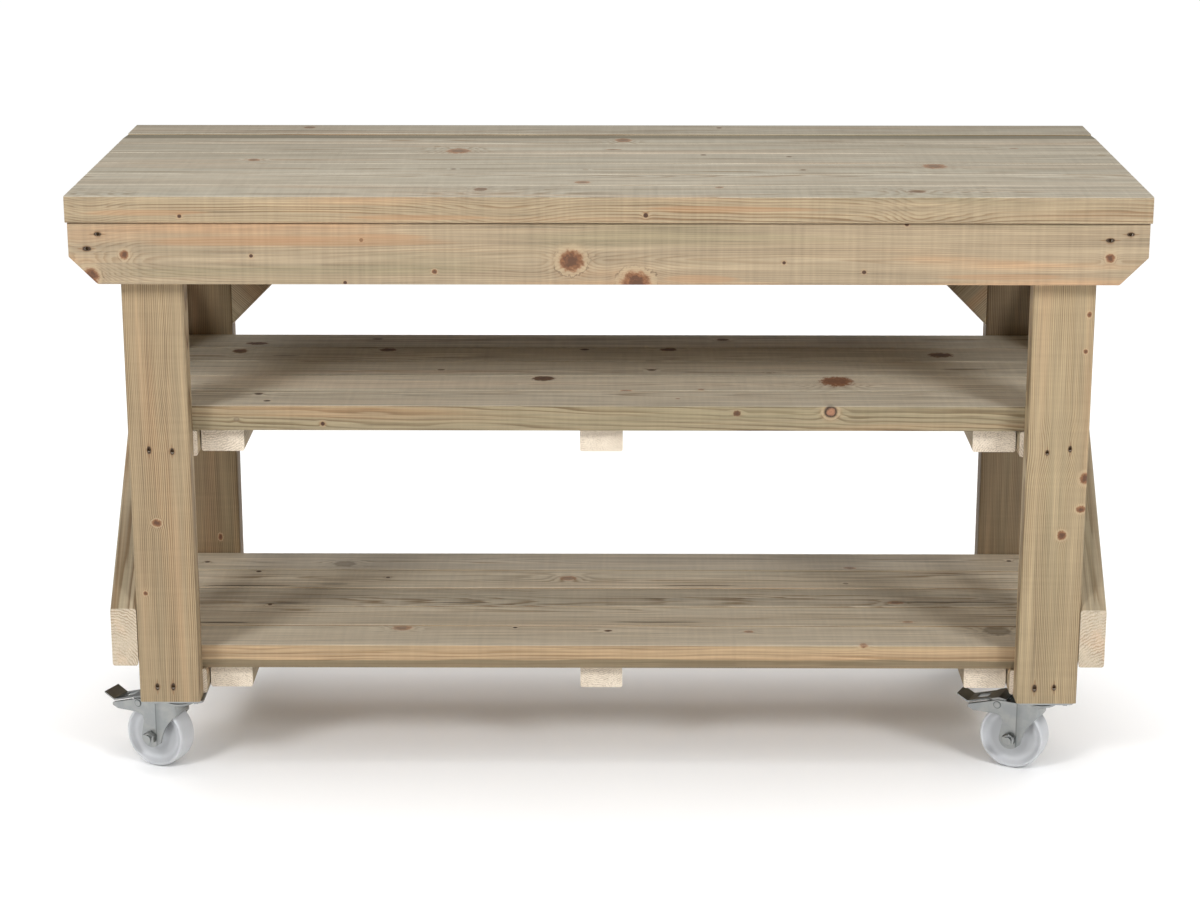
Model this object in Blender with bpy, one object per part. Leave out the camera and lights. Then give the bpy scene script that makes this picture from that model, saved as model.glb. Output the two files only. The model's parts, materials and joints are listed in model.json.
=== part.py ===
"""Mobile workbench: a softwood bench on four braked swivel casters, in metres.

The origin is on the floor under the middle of the worktop; +X is to the right
and +Y to the rear. Run with: blender --background --python part.py
"""

import math

import bmesh
import bpy
from mathutils import Matrix, Vector

for old in list(bpy.data.objects):
    bpy.data.objects.remove(old, do_unlink=True)

# Timber: planed softwood with eased edges, in two widths.
TIMBER_T = 0.038
BOARD_W = 0.089
BATTEN_W = 0.063
EDGE_EASE = 0.003
EASE_SEGMENTS = 2
FIT = 0.0003

# Bench.
BENCH_LENGTH = 1.524
BENCH_HEIGHT = 0.895
TOP_BOARDS = 7
SHELF_BOARDS = 5
BOARD_GAP = 0.001
FRONT_OVERHANG = 0.006
APRON_INSET = 0.002
APRON_CORNER = 0.040
LEG_INSET = 0.0665
RAIL_SHIFT = 0.0055
BEARER_GAP = 0.002
BEARER_SET_BACK = 0.027
CENTRE_BEARER_X = -0.010
UPPER_SHELF_TOP = 0.571
BRACE_FOOT = 0.057
BRACE_HEAD = 0.0597
KNEE_DROP = 0.270
WANE_WIDTH = 0.042
WANE_DEPTH = 0.002
SHELF_WANE_HEIGHT = 0.014
SHELF_WANE_DEPTH = 0.007

# Caster wheel, from the tread down to the bore.
WHEEL_R = 0.050
WHEEL_HALF_W = 0.018
TREAD_HALF = 0.011
SHOULDER_DROP = 0.0008
SHOULDER_IN = 0.0025
CREST_DROP = 0.0033
LIP_DROP = 0.0058
LIP_IN = 0.0012
RIM_BAND = 0.011
WHEEL_WEB_HALF = 0.010
HUB_R = 0.0155
HUB_FILLET = 0.0015
HUB_TAPER = 0.005
HUB_FACE_R = 0.0095
HUB_HALF = 0.0228
AXLE_R = 0.006
BORE_R = 0.0066
WHEEL_STEPS = 32

# Caster fork; the trail is from the swivel to the axle.
TRAIL = 0.038
SHEET = 0.003
FORK_HALF = 0.0265
CROWN_CLEAR = 0.0055
CROWN_R = 0.024
CROWN_FOOT_R = 0.009
CROWN_H = 0.010
NOSE_X = 0.002
NOSE_HALF = 0.0212
NOSE_DEPTH = 0.010
NOSE_H = 0.0165
FOLD_AHEAD = 0.0103
WEB_FOOT_AHEAD = 0.006
WEB_FOOT_DROP = 0.008
WEB_BEND_AHEAD = 0.0097
WEB_BEND_RISE = 0.020
CHEEK_BEHIND = 0.0116
WAIST_TURN = 0.012
EYE_R = 0.0165
EYE_TURN = (20, -118)
LUG_REACH = 0.067
LUG_FALL = 0.0135
LUG_END_H = 0.004
LUG_NOSE = 0.0085
LUG_DEPTH = 0.0215
LUG_LIP = 0.005

# Caster plate with its ball race and king pin, and the axle's bolt.
PLATE_T = 0.0035
PLATE_X = 0.085
PLATE_Y = 0.105
PLATE_CORNER = 0.008
PLATE_SET_BACK = 0.0032
PLATE_HOLE_R = 0.0045
PLATE_HOLE_X = 0.030
PLATE_HOLE_Y = 0.040
RACE_H = 0.0124
RACE_R = 0.0235
RACE_EASE = 0.001
RACE_GROOVE = 0.0035
RACE_GROOVE_LOW = 0.0040
RACE_GROOVE_TOP = 0.0072
RACE_FLARE = 0.002
KING_PIN_R = 0.006
KING_PIN_SHORT = 0.001
NUT_R = 0.0104
NUT_T = 0.008
NUT_BEVEL = 0.0012
HEAD_T = 0.007
BOLT_END = 0.003

# Brake pedal, on a pin above the tread.
PIN_R = 0.003
PIN_HEAD_R = 0.0048
PIN_HEAD_T = 0.0015
PIN_CLEAR = 0.0022
PIN_ANGLE = math.radians(22)
PEDAL_SHEET = 0.0025
PEDAL_SLOPE = math.radians(-16.5)
PEDAL_TIP_SLOPE = math.radians(29)
PEDAL_LIFT = 0.0108
PEDAL_KNEE = 0.001
PEDAL_HEEL = 0.013
PEDAL_HEEL_DROP = 0.0015
PEDAL_ARM = 0.0525
PEDAL_TIP = 0.0195
PEDAL_TIP_HALF = 0.018
PEDAL_SHOULDER = 0.010
PEDAL_TAPER = 0.005
PEDAL_SLOT_START = 0.020
PEDAL_SLOT_END = 0.038
PEDAL_SLOT_HALF = 0.008
FLANGE_AHEAD = 0.007
FLANGE_BEHIND = 0.010
FLANGE_WALL = 0.0022
SHOE_ANGLE = math.radians(43)
SHOE_GAP = 0.0004
SHOE_T = 0.004
SHOE_LENGTH = 0.011
SHOE_HALF_W = 0.013
STRUT_T = 0.003

# The casters' swivel angle, from straight left towards the rear, and how far the left pair sits inward.
SWIVEL_ANGLE = math.radians(25)
LEFT_INSET = 0.006

# How far cutters reach past what they cut.
OVERSHOOT = 0.010

# Worked out from the above.
TOP_DEPTH = TOP_BOARDS * BOARD_W + (TOP_BOARDS - 1) * BOARD_GAP
SHELF_DEPTH = SHELF_BOARDS * BOARD_W + (SHELF_BOARDS - 1) * BOARD_GAP
CROWN_LOW = 2 * WHEEL_R + CROWN_CLEAR
CROWN_TOP = CROWN_LOW + SHEET
PLATE_LOW = CROWN_TOP + FIT + RACE_H
CASTER_HEIGHT = PLATE_LOW + PLATE_T + FIT

TOP_LOW = BENCH_HEIGHT - TIMBER_T
FRAME_TOP = TOP_LOW - FIT
APRON_LOW = FRAME_TOP - BOARD_W
LEG_OUT = BENCH_LENGTH / 2 - LEG_INSET
LEG_IN = LEG_OUT - BOARD_W
RAIL_IN = LEG_IN - RAIL_SHIFT
RAIL_OUT = RAIL_IN + BOARD_W
BEARER_OUT = RAIL_IN - BEARER_GAP
OUTSIDE_X = LEG_OUT + FIT + TIMBER_T / 2

APRON_FRONT = -TOP_DEPTH / 2 + FRONT_OVERHANG
LEG_FRONT = APRON_FRONT + TIMBER_T + FIT
SHELF_FRONT = LEG_FRONT + TIMBER_T + FIT
SHELF_REAR = SHELF_FRONT + SHELF_DEPTH
REAR_LEG_FRONT = SHELF_REAR + FIT
REAR_LEG_BACK = REAR_LEG_FRONT + TIMBER_T
REAR_APRON_FRONT = REAR_LEG_BACK + FIT

LOWER_RAIL_Z = CASTER_HEIGHT + TIMBER_T / 2
UPPER_RAIL_Z = UPPER_SHELF_TOP - 1.5 * TIMBER_T - FIT

AXLE_Z = WHEEL_R
FACET = 1 / math.cos(math.pi / WHEEL_STEPS)
PIN_REACH = WHEEL_R * FACET + PIN_R + PIN_CLEAR
PIN_X = TRAIL + PIN_REACH * math.sin(PIN_ANGLE)
PIN_Z = AXLE_Z + PIN_REACH * math.cos(PIN_ANGLE)
FORK_INNER = FORK_HALF - SHEET
FOLD_X = TRAIL - FOLD_AHEAD
LUG_END = TRAIL + LUG_REACH
LUG_END_TOP = CROWN_TOP - LUG_FALL
PEDAL_HALF = FORK_INNER - FIT * 2

parts = bpy.data.collections.new("mobile_workbench")
cutters = bpy.data.collections.new("cutters")
bpy.context.scene.collection.children.link(parts)
bpy.context.scene.collection.children.link(cutters)


def principled(name, colour, roughness, metallic):
    """A Principled material of one colour."""
    material = bpy.data.materials.new(name)
    material.use_nodes = True
    shader = material.node_tree.nodes["Principled BSDF"]
    shader.inputs["Base Color"].default_value = (*colour, 1.0)
    shader.inputs["Roughness"].default_value = roughness
    shader.inputs["Metallic"].default_value = metallic
    return material


KINDS = {
    "softwood": ((0.50, 0.40, 0.24), 0.65, 0.0),
    "zinc": ((0.62, 0.64, 0.65), 0.38, 1.0),
    "nylon": ((0.78, 0.78, 0.79), 0.45, 0.0),
}


def finish(bm):
    """Turn every face outwards, weld the seams and give the mesh back."""
    bmesh.ops.remove_doubles(bm, verts=bm.verts, dist=1e-6)
    bmesh.ops.recalc_face_normals(bm, faces=bm.faces)
    mesh = bpy.data.meshes.new("mesh")
    bm.to_mesh(mesh)
    bm.free()
    return mesh


def part(name, mesh, kind, parent=None):
    """A named sub-part of the bench with its own material."""
    obj = bpy.data.objects.new(name, mesh)
    obj.data.name = name
    obj.data.materials.append(principled(f"{name}_{kind}", *KINDS[kind]))
    parts.objects.link(obj)
    obj.parent = parent
    return obj


def cutter(name, mesh, parent=None):
    """A shape that only Booleans use."""
    obj = bpy.data.objects.new(name, mesh)
    obj.display_type = "WIRE"
    obj.hide_render = True
    cutters.objects.link(obj)
    obj.parent = parent
    return obj


def boolean(obj, other, operation):
    modifier = obj.modifiers.new(other.name, "BOOLEAN")
    modifier.operation = operation
    modifier.solver = "EXACT"
    modifier.object = other


def saw(bm, point, normal):
    """Cut off what lies beyond a plane and close the end."""
    everything = bm.verts[:] + bm.edges[:] + bm.faces[:]
    bmesh.ops.bisect_plane(
        bm, geom=everything, plane_co=point, plane_no=normal, clear_outer=True
    )
    open_edges = [edge for edge in bm.edges if edge.is_boundary]
    bmesh.ops.edgeloop_fill(bm, edges=open_edges)


def timber(name, size, centre, turn=(0, 0, 0), cuts=()):
    """A planed length with eased long edges, then sawn by planes of the bench."""
    bm = bmesh.new()
    bmesh.ops.create_cube(bm, size=1.0)
    bmesh.ops.scale(bm, vec=size, verts=bm.verts)
    grain = max(range(3), key=lambda axis: size[axis])
    long_edges = [
        edge
        for edge in bm.edges
        if abs(edge.verts[0].co[grain] - edge.verts[1].co[grain]) > EDGE_EASE
    ]
    bmesh.ops.bevel(
        bm,
        geom=long_edges,
        offset=EDGE_EASE,
        segments=EASE_SEGMENTS,
        profile=0.5,
        affect="EDGES",
    )
    rotation = Matrix.Rotation(turn[0], 3, "X") @ Matrix.Rotation(turn[1], 3, "Y")
    to_local = rotation.transposed()
    for point, normal in cuts:
        saw(bm, to_local @ (Vector(point) - Vector(centre)), to_local @ Vector(normal))
    obj = part(name, finish(bm), "softwood")
    obj.location = centre
    obj.rotation_euler = turn
    return obj


def board_row(prefix, count, length, front, top, waned=None, wane_cut=None):
    """Boards side by side from front to rear, one of them with a waned edge."""
    for index in range(count):
        y = front + BOARD_W / 2 + index * (BOARD_W + BOARD_GAP)
        centre = (0, y, top - TIMBER_T / 2)
        cuts = [wane_cut(y, top)] if index + 1 == waned else []
        size = (length, BOARD_W, TIMBER_T)
        timber(f"{prefix}_{index + 1}", size, centre, cuts=cuts)


def rear_wane(y, top):
    """The worktop's waned board falls away along its rear edge."""
    return (0, y + BOARD_W / 2 - WANE_WIDTH, top), (0, WANE_DEPTH, WANE_WIDTH)


def front_wane(y, top):
    """The lower shelf's front board falls away under its front edge."""
    low = top - TIMBER_T
    point = (0, y - BOARD_W / 2, low + SHELF_WANE_HEIGHT)
    return point, (0, -SHELF_WANE_HEIGHT, -SHELF_WANE_DEPTH)


def build_worktop():
    board_row(
        "top_board", TOP_BOARDS, BENCH_LENGTH, -TOP_DEPTH / 2, BENCH_HEIGHT,
        waned=TOP_BOARDS - 1, wane_cut=rear_wane,
    )
    apron_half = BENCH_LENGTH / 2 - APRON_INSET
    apron_z = FRAME_TOP - BOARD_W / 2
    corners = [
        ((side * (apron_half - APRON_CORNER), 0, APRON_LOW), (side, 0, -1))
        for side in (-1, 1)
    ]
    for name, front in (("front_apron", APRON_FRONT), ("rear_apron", REAR_APRON_FRONT)):
        size = (2 * apron_half, TIMBER_T, BOARD_W)
        timber(name, size, (0, front + TIMBER_T / 2, apron_z), cuts=corners)

    span = REAR_APRON_FRONT - FIT - LEG_FRONT
    middle = LEG_FRONT + span / 2
    for name, side in (("left", -1), ("right", 1)):
        size = (TIMBER_T, span, BOARD_W)
        timber(f"{name}_end_rail", size, (side * OUTSIDE_X, middle, apron_z))
    batten = (BATTEN_W, span, TIMBER_T)
    timber("top_batten", batten, (0, middle, FRAME_TOP - TIMBER_T / 2))


def build_legs():
    length = FRAME_TOP - CASTER_HEIGHT
    z = CASTER_HEIGHT + length / 2
    for depth, front in (("front", LEG_FRONT), ("rear", REAR_LEG_FRONT)):
        for name, side in (("left", -1), ("right", 1)):
            centre = (side * (LEG_OUT - BOARD_W / 2), front + TIMBER_T / 2, z)
            timber(f"{depth}_{name}_leg", (BOARD_W, TIMBER_T, length), centre)


def build_shelf(level, rail_z, waned=None):
    """Flat side rails between the legs, boards on them and bearers below."""
    middle = (SHELF_FRONT + SHELF_REAR) / 2
    for name, side in (("left", -1), ("right", 1)):
        centre = (side * (RAIL_IN + BOARD_W / 2), middle, rail_z)
        timber(f"{level}_{name}_rail", (BOARD_W, SHELF_DEPTH, TIMBER_T), centre)
    top = rail_z + 1.5 * TIMBER_T + FIT
    board_row(
        f"{level}_shelf_board", SHELF_BOARDS, 2 * RAIL_OUT, SHELF_FRONT, top,
        waned=waned, wane_cut=front_wane,
    )
    side_x = BEARER_OUT - BATTEN_W / 2
    bearer = (BATTEN_W, SHELF_DEPTH - 2 * BEARER_SET_BACK, TIMBER_T)
    for name, x in (("left", -side_x), ("centre", CENTRE_BEARER_X), ("right", side_x)):
        timber(f"{level}_{name}_bearer", bearer, (x, middle, rail_z))


def build_braces():
    """Diagonals outside the legs, and knees from the rear legs to the worktop."""
    run = REAR_LEG_BACK - LEG_FRONT
    head_z = APRON_LOW - FIT - BRACE_HEAD
    foot_z = CASTER_HEIGHT + BRACE_FOOT
    slope = math.atan2(head_z - foot_z, run)
    half_plumb = BATTEN_W / 2 / math.cos(slope)
    for name, side in (("left", -1), ("right", 1)):
        x = side * OUTSIDE_X
        centre = (x, LEG_FRONT + run / 2, (foot_z + head_z) / 2 + half_plumb)
        cuts = (
            ((x, LEG_FRONT, 0), (0, -1, 0)),
            ((x, REAR_LEG_BACK, 0), (0, 1, 0)),
            ((x, 0, APRON_LOW - FIT), (0, 0, 1)),
        )
        rough = (TIMBER_T, 3 * run, BATTEN_W)
        timber(f"{name}_brace", rough, centre, (slope, 0, 0), cuts)

    leg_face = LEG_IN - FIT
    knee_y = REAR_LEG_FRONT + TIMBER_T / 2
    for name, side in (("left", -1), ("right", 1)):
        reach = KNEE_DROP / 2
        z = TOP_LOW - KNEE_DROP + BATTEN_W / math.sqrt(2) + reach
        centre = (side * (leg_face - reach), knee_y, z)
        cuts = (
            ((side * leg_face, 0, 0), (side, 0, 0)),
            ((0, 0, FRAME_TOP), (0, 0, 1)),
        )
        rough = (4 * KNEE_DROP, TIMBER_T, BATTEN_W)
        timber(f"{name}_knee_brace", rough, centre, (0, side * math.pi / 4, 0), cuts)


def arc(centre, radius, start, end, steps):
    """Points along an arc, by angles in degrees."""
    angles = [
        math.radians(start + (end - start) * step / steps) for step in range(steps + 1)
    ]
    return [
        (centre[0] + radius * math.cos(angle), centre[1] + radius * math.sin(angle))
        for angle in angles
    ]


def bow(start, handle, end, steps):
    """Points along a quadratic curve, without its first point."""
    points = []
    for step in range(1, steps + 1):
        t = step / steps
        blend = [
            (1 - t) ** 2 * a + 2 * t * (1 - t) * b + t * t * c
            for a, b, c in zip(start, handle, end)
        ]
        points.append(tuple(blend))
    return points


def prism(outline, low, high, upright=True):
    """An outline in X and Y pushed along Z, or in X and Z pushed along Y."""
    bm = bmesh.new()
    if upright:
        verts = [bm.verts.new((u, v, low)) for u, v in outline]
        push = Vector((0, 0, high - low))
    else:
        verts = [bm.verts.new((u, low, v)) for u, v in outline]
        push = Vector((0, high - low, 0))
    face = bm.faces.new(verts)
    grown = bmesh.ops.extrude_face_region(bm, geom=[face])["geom"]
    moved = [item for item in grown if isinstance(item, bmesh.types.BMVert)]
    bmesh.ops.translate(bm, vec=push, verts=moved)
    return finish(bm)


def lathe(profile, steps, axis, closed=False):
    """A profile of (radius, along) turned about Y or Z, with a flat at the bottom."""
    bm = bmesh.new()
    start = Matrix.Rotation(math.pi / steps, 3, axis)
    verts = []
    for radius, along in profile:
        co = (radius, along, 0) if axis == "Y" else (radius, 0, along)
        verts.append(bm.verts.new(start @ Vector(co)))
    edges = [bm.edges.new(pair) for pair in zip(verts, verts[1:])]
    if closed:
        edges.append(bm.edges.new((verts[-1], verts[0])))
    spin_axis = (0, 1, 0) if axis == "Y" else (0, 0, 1)
    bmesh.ops.spin(
        bm,
        geom=verts + edges,
        cent=(0, 0, 0),
        axis=spin_axis,
        angle=2 * math.pi,
        steps=steps,
    )
    return finish(bm)


def rod(radius, low, high, axis, steps=16):
    return lathe([(0, low), (radius, low), (radius, high), (0, high)], steps, axis)


def box(low, high):
    outline = [
        (low[0], low[1]),
        (high[0], low[1]),
        (high[0], high[1]),
        (low[0], high[1]),
    ]
    return prism(outline, low[2], high[2])


def fork_plan(inset, rear):
    """The fork from above: straight cheeks that fold towards a blunt round nose."""
    half = FORK_HALF - inset
    depth = NOSE_DEPTH - inset
    nose_half = NOSE_HALF - inset
    front = [
        (NOSE_X + depth * u, nose_half * v) for u, v in arc((0, 0), 1.0, 90, 270, 8)
    ]
    return [(rear, half), (FOLD_X, half), *front, (FOLD_X, -half), (rear, -half)]


def fork_side():
    """The fork from the side: crown, sloping lug, waisted cheek and rising web."""
    lug_low = CROWN_TOP - LUG_DEPTH
    waist = TRAIL + CHEEK_BEHIND
    waist_start = (waist + WAIST_TURN, lug_low)
    waist_end = (waist, lug_low - WAIST_TURN)
    web_foot = (FOLD_X - WEB_FOOT_AHEAD, AXLE_Z - WEB_FOOT_DROP)
    web_bend = (FOLD_X - WEB_BEND_AHEAD, AXLE_Z + WEB_BEND_RISE)
    nose_low = CROWN_TOP - NOSE_H
    return [
        (-CROWN_R, CROWN_TOP),
        (PIN_X, CROWN_TOP),
        (LUG_END, LUG_END_TOP),
        (LUG_END, LUG_END_TOP - LUG_END_H),
        (LUG_END - LUG_NOSE, lug_low),
        waist_start,
        *bow(waist_start, (waist, lug_low), waist_end, 3),
        *arc((TRAIL, AXLE_Z), EYE_R, *EYE_TURN, 8),
        web_foot,
        *bow(web_foot, web_bend, (NOSE_X - NOSE_DEPTH - FIT, nose_low), 5),
        (-CROWN_R, nose_low),
    ]


def build_fork(name, swivel):
    """Pressed sheet: a boat-shaped shell cut to its side view, with a dished crown."""
    shell = prism(fork_plan(0, LUG_END + OVERSHOOT), AXLE_Z - 2 * EYE_R, CROWN_TOP + OVERSHOOT)
    fork = part(f"{name}_fork", shell, "zinc", swivel)
    hollow = prism(fork_plan(SHEET, LUG_END + 2 * OVERSHOOT), 0, CROWN_LOW)
    boolean(fork, cutter(f"{name}_hollow", hollow, swivel), "DIFFERENCE")
    side = prism(fork_side(), -2 * FORK_HALF, 2 * FORK_HALF, upright=False)
    boolean(fork, cutter(f"{name}_side_view", side, swivel), "INTERSECT")
    pedal_bay = box(
        (PIN_X - PEDAL_HEEL - SHEET, -FORK_INNER, CROWN_LOW - OVERSHOOT),
        (LUG_END + OVERSHOOT, FORK_INNER, CROWN_TOP + OVERSHOOT),
    )
    boolean(fork, cutter(f"{name}_pedal_bay", pedal_bay, swivel), "DIFFERENCE")

    lip_x = PIN_X + PEDAL_SHOULDER + PEDAL_TAPER + FIT
    lip_z = CROWN_TOP - LUG_FALL * (lip_x - PIN_X) / (LUG_END - PIN_X)
    lip_end = LUG_END - FIT
    lip = [
        (lip_x, lip_z - SHEET),
        (lip_end, LUG_END_TOP - SHEET),
        (lip_end, LUG_END_TOP - FIT),
        (lip_x, lip_z - FIT),
    ]
    for label, side in (("left", 1), ("right", -1)):
        ends = sorted((side * (FORK_INNER - LUG_LIP), side * (FORK_INNER + SHEET / 2)))
        strip = prism(lip, *ends, upright=False)
        boolean(fork, cutter(f"{name}_{label}_lip", strip, swivel), "UNION")

    crown = lathe(
        [
            (0, CROWN_TOP - CROWN_H),
            (CROWN_FOOT_R, CROWN_TOP - CROWN_H),
            (CROWN_R, CROWN_TOP - SHEET),
            (CROWN_R, CROWN_TOP),
            (0, CROWN_TOP),
        ],
        24,
        "Z",
    )
    boolean(fork, cutter(f"{name}_crown", crown, swivel), "UNION")
    king_low = CROWN_TOP - CROWN_H - OVERSHOOT
    king = rod(KING_PIN_R + 2 * FIT, king_low, CROWN_TOP + OVERSHOOT, "Z")
    boolean(fork, cutter(f"{name}_king_hole", king, swivel), "DIFFERENCE")
    past = FORK_HALF + OVERSHOOT
    for label, radius, x, z in (
        ("axle_hole", BORE_R, TRAIL, AXLE_Z),
        ("pin_hole", PIN_R + FIT, PIN_X, PIN_Z),
    ):
        hole = cutter(f"{name}_{label}", rod(radius, -past, past, "Y"), swivel)
        hole.location = (x, 0, z)
        boolean(fork, hole, "DIFFERENCE")


def build_wheel(name, swivel):
    """A one-piece wheel with a crowned tread, dished faces and a long hub."""
    half = [
        (BORE_R, HUB_HALF),
        (HUB_FACE_R, HUB_HALF),
        (HUB_R, HUB_HALF - HUB_TAPER),
        (HUB_R + HUB_FILLET, WHEEL_WEB_HALF),
        (WHEEL_R - RIM_BAND, WHEEL_WEB_HALF),
        (WHEEL_R - LIP_DROP, WHEEL_HALF_W - LIP_IN),
        (WHEEL_R - CREST_DROP, WHEEL_HALF_W),
        (WHEEL_R - SHOULDER_DROP, WHEEL_HALF_W - SHOULDER_IN),
        (WHEEL_R, TREAD_HALF),
    ]
    profile = half + [(radius, -along) for radius, along in reversed(half)]
    profile = [(radius * FACET, along) for radius, along in profile]
    mesh = lathe(profile, WHEEL_STEPS, "Y", True)
    wheel = part(f"{name}_wheel", mesh, "nylon", swivel)
    wheel.location = (TRAIL, 0, AXLE_Z)


def build_axle(name, swivel):
    """A hexagon bolt through both cheeks, with its nut on the pedal's left."""
    near = FORK_HALF + FIT
    bolt_end = near + NUT_T + BOLT_END
    profile = [
        (0, -near - HEAD_T),
        (AXLE_R, -near - HEAD_T + NUT_BEVEL),
        (AXLE_R, bolt_end),
        (0, bolt_end),
    ]
    axle = part(f"{name}_axle", lathe(profile, 18, "Y"), "zinc", swivel)
    axle.location = (TRAIL, 0, AXLE_Z)
    for label, low, high in (("head", -near - HEAD_T, -near), ("nut", near, near + NUT_T)):
        hexagon = lathe(
            [
                (0, low),
                (NUT_R - NUT_BEVEL, low),
                (NUT_R, low + NUT_BEVEL),
                (NUT_R, high - NUT_BEVEL),
                (NUT_R - NUT_BEVEL, high),
                (0, high),
            ],
            6,
            "Y",
        )
        tool = cutter(f"{name}_{label}", hexagon, axle)
        boolean(axle, tool, "UNION")


def tread_height(x):
    """How far the pedal's tread lies above its pin, at a distance behind the pin."""
    return PEDAL_LIFT + (x + PEDAL_KNEE) * math.tan(PEDAL_SLOPE)


def pedal_profile():
    """The pedal's bent sheet from the side, measured from its pin."""
    down = Vector((math.cos(PEDAL_SLOPE), math.sin(PEDAL_SLOPE)))
    up = Vector((math.cos(PEDAL_TIP_SLOPE), math.sin(PEDAL_TIP_SLOPE)))
    heel = Vector((-PEDAL_HEEL, PEDAL_LIFT - PEDAL_HEEL_DROP))
    knee = Vector((-PEDAL_KNEE, PEDAL_LIFT))
    bend = knee + down * PEDAL_ARM
    tip = bend + up * PEDAL_TIP
    line = [heel, knee, bend, tip]
    thick = [point - Vector((0, PEDAL_SHEET)) for point in reversed(line)]
    return [tuple(point) for point in line + thick]


def build_pedal(name, swivel):
    """A bent tread plate on two flanges, with its riveted pin and brake shoe."""
    mesh = prism(pedal_profile(), -PEDAL_HALF, PEDAL_HALF, upright=False)
    pedal = part(f"{name}_pedal", mesh, "zinc", swivel)
    pedal.location = (PIN_X, 0, PIN_Z)

    reach = PEDAL_ARM + PEDAL_TIP
    edge = PEDAL_HALF + OVERSHOOT
    for label, side in (("left", 1), ("right", -1)):
        taper = prism(
            [
                (PEDAL_SHOULDER, side * edge),
                (PEDAL_SHOULDER, side * PEDAL_HALF),
                (PEDAL_SHOULDER + PEDAL_TAPER, side * PEDAL_TIP_HALF),
                (reach, side * PEDAL_TIP_HALF),
                (reach, side * edge),
            ],
            -reach,
            reach,
        )
        boolean(pedal, cutter(f"{name}_{label}_taper", taper, pedal), "DIFFERENCE")
    slot = box(
        (PEDAL_SLOT_START, -PEDAL_SLOT_HALF, -reach),
        (PEDAL_SLOT_END, PEDAL_SLOT_HALF, reach),
    )
    boolean(pedal, cutter(f"{name}_slot", slot, pedal), "DIFFERENCE")

    flange_low = -PIN_R - FLANGE_WALL
    mid = PEDAL_SHEET / 2
    fall = PEDAL_HEEL_DROP * (FLANGE_AHEAD - PEDAL_KNEE) / (PEDAL_HEEL - PEDAL_KNEE)
    flange = [
        (-FLANGE_AHEAD, flange_low + FLANGE_AHEAD * math.tan(PIN_ANGLE)),
        (0, flange_low),
        (FLANGE_BEHIND, flange_low),
        (FLANGE_BEHIND, tread_height(FLANGE_BEHIND) - mid),
        (-PEDAL_KNEE, PEDAL_LIFT - mid),
        (-FLANGE_AHEAD, PEDAL_LIFT - fall - mid),
    ]
    for label, side in (("left", 1), ("right", -1)):
        ends = sorted((side * (PEDAL_HALF - PEDAL_SHEET), side * PEDAL_HALF))
        sheet = prism(flange, *ends, upright=False)
        boolean(pedal, cutter(f"{name}_{label}_flange", sheet, pedal), "UNION")

    head = FORK_HALF + FIT
    pin = lathe(
        [
            (0, -head - PIN_HEAD_T),
            (PIN_HEAD_R, -head - PIN_HEAD_T / 2),
            (PIN_HEAD_R, -head),
            (PIN_R, -head),
            (PIN_R, head),
            (PIN_HEAD_R, head),
            (PIN_HEAD_R, head + PIN_HEAD_T / 2),
            (0, head + PIN_HEAD_T),
        ],
        16,
        "Y",
    )
    boolean(pedal, cutter(f"{name}_pin", pin, pedal), "UNION")

    radial = Vector((math.sin(SHOE_ANGLE), math.cos(SHOE_ANGLE)))
    along = Vector((math.cos(SHOE_ANGLE), -math.sin(SHOE_ANGLE)))
    hub = Vector((TRAIL - PIN_X, AXLE_Z - PIN_Z))
    foot = hub + radial * (WHEEL_R * FACET + SHOE_GAP)
    strut_x = foot.x + radial.x * SHOE_T / 2
    strut_top = tread_height(strut_x) - mid
    corners = [
        foot - along * SHOE_LENGTH / 2,
        foot + along * SHOE_LENGTH / 2,
        foot + along * SHOE_LENGTH / 2 + radial * SHOE_T,
        Vector((strut_x + STRUT_T / 2, foot.y + SHOE_T)),
        Vector((strut_x + STRUT_T / 2, strut_top)),
        Vector((strut_x - STRUT_T / 2, strut_top)),
        Vector((strut_x - STRUT_T / 2, foot.y + SHOE_T)),
        foot - along * SHOE_LENGTH / 2 + radial * SHOE_T,
    ]
    outline = [tuple(corner) for corner in corners]
    shoe = prism(outline, -SHOE_HALF_W, SHOE_HALF_W, upright=False)
    boolean(pedal, cutter(f"{name}_shoe", shoe, pedal), "UNION")


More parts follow.
